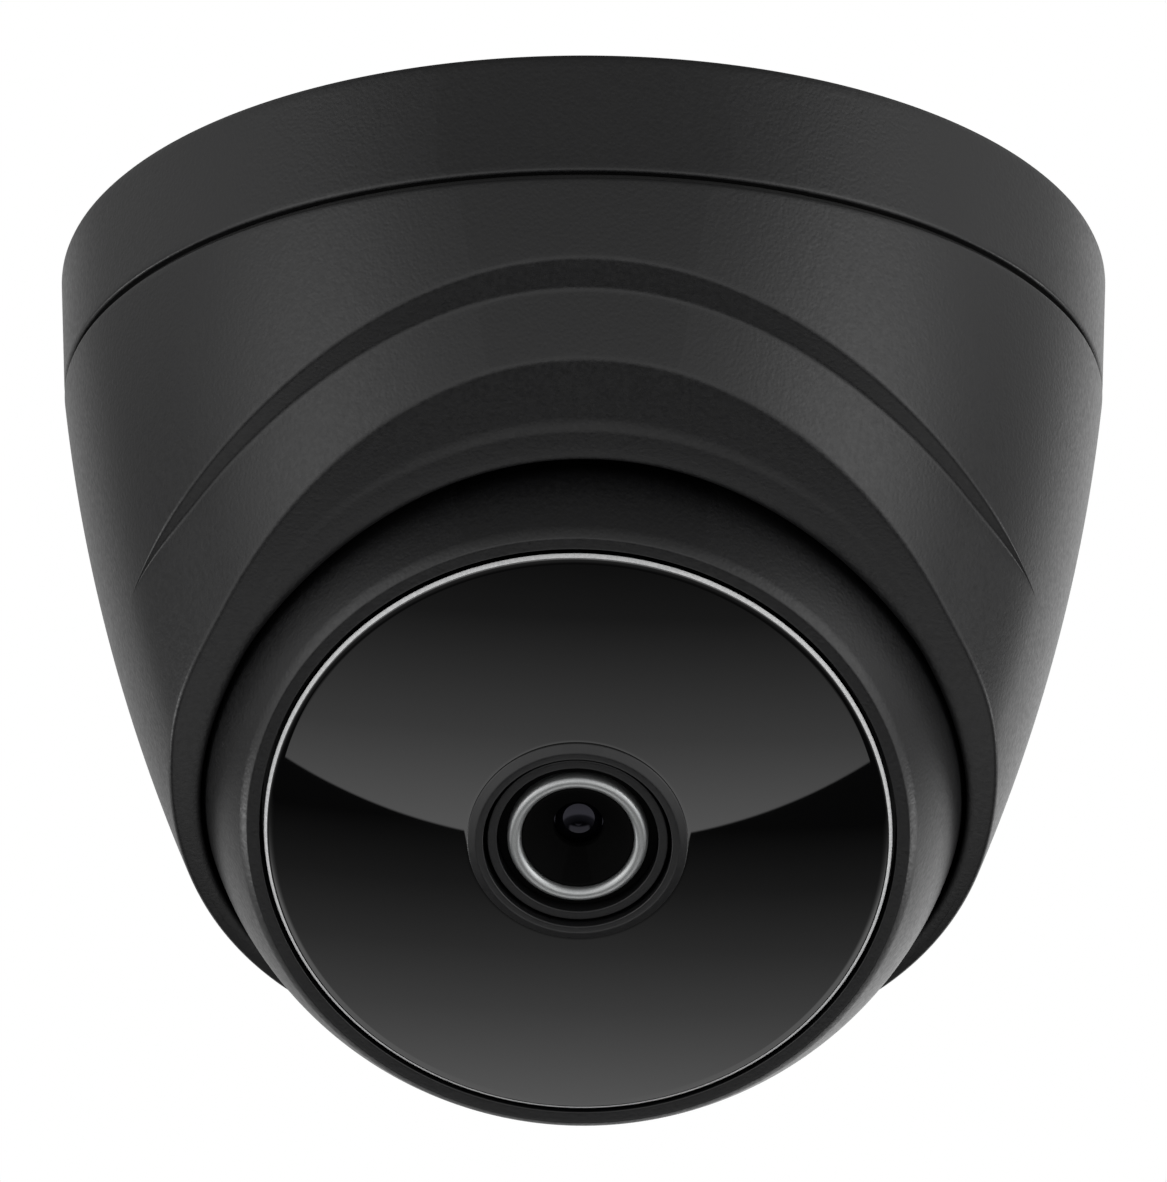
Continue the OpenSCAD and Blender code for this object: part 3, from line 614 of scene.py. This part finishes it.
def anodised(name, shade, rough):
    """Black anodised turned aluminium: dull metal under a dark film with a fine speckle."""
    made, tree, mm = material(name)
    fine = add(tree, "TexNoise", {"Vector": mm, "Scale": 7.0, "Detail": 3.0})
    bump = add(tree, "Bump", {"Height": fine, "Strength": 0.25, "Distance": 0.008 * MM})
    shaded(tree, {
        "Base Color": add(tree, "ValToRGB", {"Fac": fine}, stops=((0.3, shade), (0.75, "#2b2b2c"))),
        "Metallic": 0.35, "IOR": 1.6, "Normal": bump,
        "Roughness": add(tree, "ValToRGB", {"Fac": fine},
                         stops=((0.3, rough), (0.7, rough + 0.12))),
    })
    return made


black_anodised = anodised("Black anodised aluminium", "#1d1d1e", 0.34)
head_r, head_wall, thread_r, glass_r = 7.05, 0.75, 5.9, 3.45
head_front_w, head_back_w, barrel_back_w = window_mid_w - 0.1, 8.0, -1.0
head_floor_w = head_front_w - 2.2
front_glass_w = head_floor_w - 3
piece(lathe("lens_barrel_tube", rounded([
    (thread_r, barrel_back_w, 0.15), (thread_r, head_back_w, 0.1), (head_r, head_back_w, 0.15),
    (head_r, head_front_w, 0.14), (head_r - head_wall, head_front_w, 0.12),
    (head_r - head_wall, head_floor_w, 0.05), (glass_r + fit, head_floor_w, 0.05),
    (glass_r + fit, barrel_back_w + 1.6, 0.05), (glass_r - 0.9, barrel_back_w + 1.6, 0.05),
    (glass_r - 0.9, barrel_back_w, 0.1),
]), to_ball, 200), "eyeball", "lens_black", black_anodised, "lens_barrel")

ring_r, ring_w, pupil_r = 5.5, 1.1, 1.95
ring_in_r, ring_foot_w, nose_foot_w = ring_r - ring_w, head_floor_w + 1, front_glass_w + 1.9
nose_paint, tree, mm = material("Optical matt black paint on the cone")
soot = add(tree, "TexNoise", {"Vector": mm, "Scale": 8.0, "Detail": 3.0})
bump = add(tree, "Bump", {"Height": soot, "Strength": 0.4, "Distance": 0.01 * MM})
tone = add(tree, "ValToRGB", {"Fac": soot}, stops=((0.3, "#030303"), (0.7, "#060606")))
shaded(tree, {"Base Color": tone, "Roughness": 0.8, "Specular IOR Level": 0.08, "Normal": bump})
piece(lathe("lens_cone", rounded([
    (pupil_r, nose_foot_w, 0.03), (glass_r, nose_foot_w, 0.03), (glass_r, head_floor_w, 0.03),
    (head_r - head_wall - fit, head_floor_w, 0.05), (head_r - head_wall - fit, ring_foot_w, 0.05),
    (ring_in_r - fit, ring_foot_w, 0.02), (ring_in_r - fit, head_front_w - 0.5, 0.05),
    (ring_in_r - 0.3, head_front_w - 0.5, 0.05), (pupil_r + 0.5, nose_foot_w + 1.1, 0.2),
    (pupil_r, nose_foot_w + 0.6, 0.1),
]), to_ball, 160), "eyeball", "lens_black", nose_paint, "lens_nose")

pale_metal, tree, mm = material("Bead-blasted clear anodised aluminium")
blast = add(tree, "TexNoise", {"Vector": mm, "Scale": 12.0, "Detail": 2.0})
bump = add(tree, "Bump", {"Height": blast, "Strength": 0.3, "Distance": 0.008 * MM})
tone = add(tree, "ValToRGB", {"Fac": blast}, stops=((0.3, "#b4b6b6"), (0.7, "#cccece")))
shaded(tree, {"Base Color": tone, "Metallic": 0.8, "Roughness": 0.38, "Normal": bump})
ring_mid_r, ring_top_w = ring_in_r + ring_w / 2, head_front_w - ring_w / 2
crest = np.linspace(0, np.pi, 24)
piece(lathe("lens_ring", np.concatenate([
    np.array([[ring_in_r, ring_foot_w], [ring_r, ring_foot_w]]),
    np.stack([ring_mid_r + ring_w / 2 * np.cos(crest),
              ring_top_w + ring_w / 2 * np.sin(crest)], -1),
]), to_ball, 160), "eyeball", "pale_ring", pale_metal, "lens_retaining_ring")


def coated_glass(name, tint, coat):
    """Optical glass with a blue-violet anti-reflection coat: dark from the front because no light
    comes back through it, with small coloured reflections."""
    made, tree, mm = material(name)
    film = add(tree, "TexNoise", {"Vector": mm, "Scale": 0.6, "Detail": 1.0})
    shaded(tree, {
        "Base Color": add(tree, "ValToRGB", {"Fac": film}, stops=((0.3, tint), (0.7, "#0a0b12"))),
        "Roughness": 0.02, "IOR": 1.52, "Specular IOR Level": 0.3, "Specular Tint": colour(coat),
        "Coat Weight": 0.2, "Coat Roughness": 0.01, "Coat IOR": 1.5,
    })
    return made


glass = coated_glass("Optical glass, violet coating", "#07070b", "#d6d2ff")
cap_r, cap_rise = pupil_r - 0.1, 0.7
cap_ball = (cap_r ** 2 + cap_rise ** 2) / (2 * cap_rise)
cap_run = np.linspace(cap_r, 0, 16)
neck_w = nose_foot_w + 0.1
piece(lathe("lens_front_glass", np.concatenate([
    np.array([[0, front_glass_w], [glass_r, front_glass_w], [glass_r, nose_foot_w - fit],
              [cap_r, nose_foot_w - fit]]),
    np.stack([cap_run, neck_w + cap_rise - cap_ball + np.sqrt(cap_ball ** 2 - cap_run ** 2)], -1),
]), to_ball, 96), "eyeball", "lens_glass", glass, "lens_front_element")
dress(glass, "lens_second_element", "lens_third_element", "ir_cut_filter")
dress(black_anodised, "lens_spacer", "aperture_stop")


# ---- Boards and what stands on them --------------------------------------------------------------
# Glass-epoxy boards under green solder mask, on turned brass spacers. The lamps are infrared diodes
# in smoked epoxy, the light sensor has an amber face, and connector and ribbon are pale nylon.

mask, tree, mm = material("Glass-epoxy board, green solder mask")
tracks = add(tree, "TexBrick", {"Vector": mm, "Scale": 0.8, "Mortar Size": 0.09,
                                "Color1": colour("#14502f"), "Color2": colour("#174f31"),
                                "Mortar": colour("#2c7a4b")})
weave = add(tree, "TexNoise", {"Vector": mm, "Scale": 3.0, "Detail": 2.0})
relief = add(tree, "Bump", {"Height": tracks.outputs["Fac"], "Strength": 0.4,
                            "Distance": 0.03 * MM})
shaded(tree, {"Base Color": tracks, "IOR": 1.5, "Normal": relief,
              "Roughness": add(tree, "ValToRGB", {"Fac": weave}, stops=((0.3, 0.22), (0.7, 0.36)))})
dress(mask, "sensor_board", "power_board", "ir_led_board")

brass_paint = plated_steel("Turned brass", "#b98f45", "#a27a38")
dress(brass_paint, "board_spacers")

nylon, tree, mm = material("Natural nylon, moulded")
haze = add(tree, "TexNoise", {"Vector": mm, "Scale": 1.4, "Detail": 3.0})
tone = add(tree, "ValToRGB", {"Fac": haze}, stops=((0.3, "#d8d3c4"), (0.7, "#e6e2d6")))
shaded(tree, {"Base Color": tone, "Roughness": 0.42, "IOR": 1.53, "Subsurface Weight": 0.15,
              "Subsurface Scale": 0.001})
dress(nylon, "board_connector", "ribbon_cable")


def cast_epoxy(name, low, high, rough):
    """Cast epoxy or cover glass over a die: glossy, with a cloudy depth."""
    made, tree, mm = material(name)
    cloud = add(tree, "TexNoise", {"Vector": mm, "Scale": 1.1, "Detail": 2.0})
    tone = add(tree, "ValToRGB", {"Fac": cloud}, stops=((0.35, low), (0.7, high)))
    shaded(tree, {"Base Color": tone, "Roughness": rough, "IOR": 1.55, "Coat Weight": 0.6})
    return made


dress(cast_epoxy("Smoked epoxy", "#191922", "#2b2b3a", 0.12), "ir_leds")
dress(cast_epoxy("Amber epoxy", "#7a4a22", "#9a6535", 0.2), "light_sensor")
dress(cast_epoxy("Image sensor glass", "#10131c", "#232a3c", 0.08), "image_sensor")


# ---- Floor, light and camera ---------------------------------------------------------------------
# The camera looks up at the part from in front and below, and a pale floor lies far under it. The
# room's soft light is brightest low in front, with patches at the sides and behind. The window
# mirrors a large round reflector below.

floor_paint, tree, mm = material("Painted floor, pale")
mottle = add(tree, "TexNoise", {"Vector": mm, "Scale": 0.01, "Detail": 2.0})
tone = add(tree, "ValToRGB", {"Fac": mottle}, stops=((0.2, "#efefed"), (0.8, "#f4f4f2")))
shaded(tree, {"Base Color": tone, "Roughness": 0.8})
floor_size, floor_z = 12000.0, -1200.0
floor_mesh = bpy.data.meshes.new("floor")
half = floor_size / 2 * MM
floor_mesh.from_pydata([(-half, -half, floor_z * MM), (half, -half, floor_z * MM),
                        (half, half, floor_z * MM), (-half, half, floor_z * MM)],
                       [], [(0, 1, 2, 3)])
floor_mesh.materials.append(floor_paint)
floor = bpy.data.objects.new("floor", floor_mesh)
scene.collection.objects.link(floor)
floor.visible_glossy = floor.visible_diffuse = False

world = bpy.data.worlds.new("Studio")
world.use_nodes = True
scene.world = world
sky = world.node_tree
sky.nodes.clear()
way = add(sky, "TexCoord").outputs["Generated"]
xyz = add(sky, "SeparateXYZ", {0: way}).outputs


def soft_patch(turn, lift, full, none, level):
    """Light from round a direction, given by its turn from the front and its lift in degrees: whole
    within the first angle and gone at the second."""
    a, e = math.radians(turn), math.radians(lift)
    aim = Vector((math.sin(a) * math.cos(e), -math.cos(a) * math.cos(e), math.sin(e)))
    dot = add(sky, "VectorMath", {0: way, 1: aim}, operation="DOT_PRODUCT").outputs["Value"]
    gone, whole = math.cos(math.radians(none)), math.cos(math.radians(full))
    return add(sky, "MapRange", {"Value": dot, 1: gone, 2: whole, 3: 0.0, 4: level},
               interpolation_type="SMOOTHSTEP")


# The room: brighter towards a band of light low in front, dark below it, dim behind.
height = add(sky, "MapRange", {"Value": xyz["Z"], 1: -0.9, 2: 0.6, 3: 0.0, 4: 1.0})
front_light = add(sky, "ValToRGB", {"Fac": height}, stops=(
    (0.0, 0.05), (0.14, 0.22), (0.2, 1.0), (0.28, 1.0), (0.36, 0.92), (0.52, 0.84), (0.62, 0.68),
    (0.8, 0.36), (1.0, 0.2)))
facing = add(sky, "MapRange", {"Value": xyz["Y"], 1: -0.25, 2: 0.35, 3: 1.0, 4: 0.22},
             interpolation_type="SMOOTHSTEP")
room = add(sky, "Math", {0: front_light, 1: facing}, operation="MULTIPLY")
for patch in ((-60, 0, 5, 27, 1.0), (62, 0, 5, 27, 1.5), (-104, 38, 8, 36, 0.5),
              (104, 38, 8, 36, 0.6), (-160, 8, 12, 34, 0.6), (155, 6, 12, 36, 1.1)):
    room = add(sky, "Math", {0: room, 1: soft_patch(*patch)}, operation="ADD")
# The reflector below: brighter towards its round edge, and past the edge dark, then brighter again.
reflector_way = Vector((-0.0510, -0.4150, -0.9084))
reflector_cos, edge_blur, reflector_level = 0.9771, 0.0001, 0.74
near = add(sky, "VectorMath", {0: way, 1: reflector_way}, operation="DOT_PRODUCT").outputs["Value"]
on_reflector = add(sky, "MapRange", {"Value": near, 1: reflector_cos - edge_blur,
                                     2: reflector_cos + edge_blur, 3: 0.0, 4: 1.0})
across = add(sky, "MapRange", {"Value": xyz["Y"], 1: -0.35, 2: -0.21, 3: 0.0, 4: 1.0})
reflector_light = add(sky, "ValToRGB", {"Fac": across}, stops=(
    (0.0, 0.03), (0.244, 0.11), (0.441, 0.29), (0.632, 0.48), (0.83, 0.8), (0.96, 1.0)))
past_edge = add(sky, "MapRange", {"Value": xyz["Y"], 1: -0.22, 2: -0.07, 3: 0.0, 4: 1.0})
beyond_light = add(sky, "ValToRGB", {"Fac": past_edge}, stops=(
    (0.0, 0.02), (0.1, 0.065), (0.2, 0.11), (0.4, 0.265), (0.6, 0.5), (0.8, 0.83), (0.9, 1.0)))
below = add(sky, "Mix", {"Factor": on_reflector, 2: beyond_light, 3: reflector_light},
            data_type="FLOAT")
below = add(sky, "Math", {0: below, 1: reflector_level}, operation="MULTIPLY")
low_part = add(sky, "MapRange", {"Value": xyz["Z"], 1: -0.86, 2: -0.92, 3: 0.0, 4: 1.0},
               interpolation_type="SMOOTHSTEP")
room = add(sky, "Mix", {"Factor": low_part, 2: room, 3: below}, data_type="FLOAT")
seen = add(sky, "LightPath").outputs["Is Camera Ray"]
strength = add(sky, "Mix", {"Factor": seen, 2: room, 3: 1.0}, data_type="FLOAT")
backdrop = add(sky, "Background", {"Color": (1, 1, 1, 1), "Strength": strength})
add(sky, "OutputWorld", {"Surface": backdrop})


def softbox(name, place, aim, width, height, watts):
    """A rectangular area light at a place, turned towards a point. Lengths are in metres."""
    lamp = bpy.data.lights.new(name, "AREA")
    lamp.shape, lamp.size, lamp.size_y, lamp.energy = "RECTANGLE", width, height, watts
    obj = bpy.data.objects.new(name, lamp)
    scene.collection.objects.link(obj)
    obj.location = place
    obj.rotation_euler = (Vector(place) - Vector(aim)).to_track_quat("Z", "Y").to_euler()


middle = (cad_box[0] + cad_box[1]) / 2
box_side, box_back, box_z, box_wide, box_high, box_watts = 0.9, 0.33, -0.35, 0.14, 0.3, 1.2
for name, side in (("left_box", -box_side), ("right_box", box_side)):
    softbox(name, (side, box_back, box_z), middle, box_wide, box_high, box_watts)

camera_data = bpy.data.cameras.new("camera")
camera_data.sensor_width = 36.0
camera_data.lens = 226.8
camera_data.clip_start = 0.01
rise, distance = math.radians(23.11), 0.6
target = Vector((0, 0, -0.02663))
camera = bpy.data.objects.new("camera", camera_data)
camera.location = target - distance * Vector((0, math.cos(rise), math.sin(rise)))
camera.rotation_euler = (math.radians(90) + rise, 0, 0)
scene.collection.objects.link(camera)
scene.camera = camera
scene.view_settings.view_transform = "Standard"

bpy.context.view_layer.update()
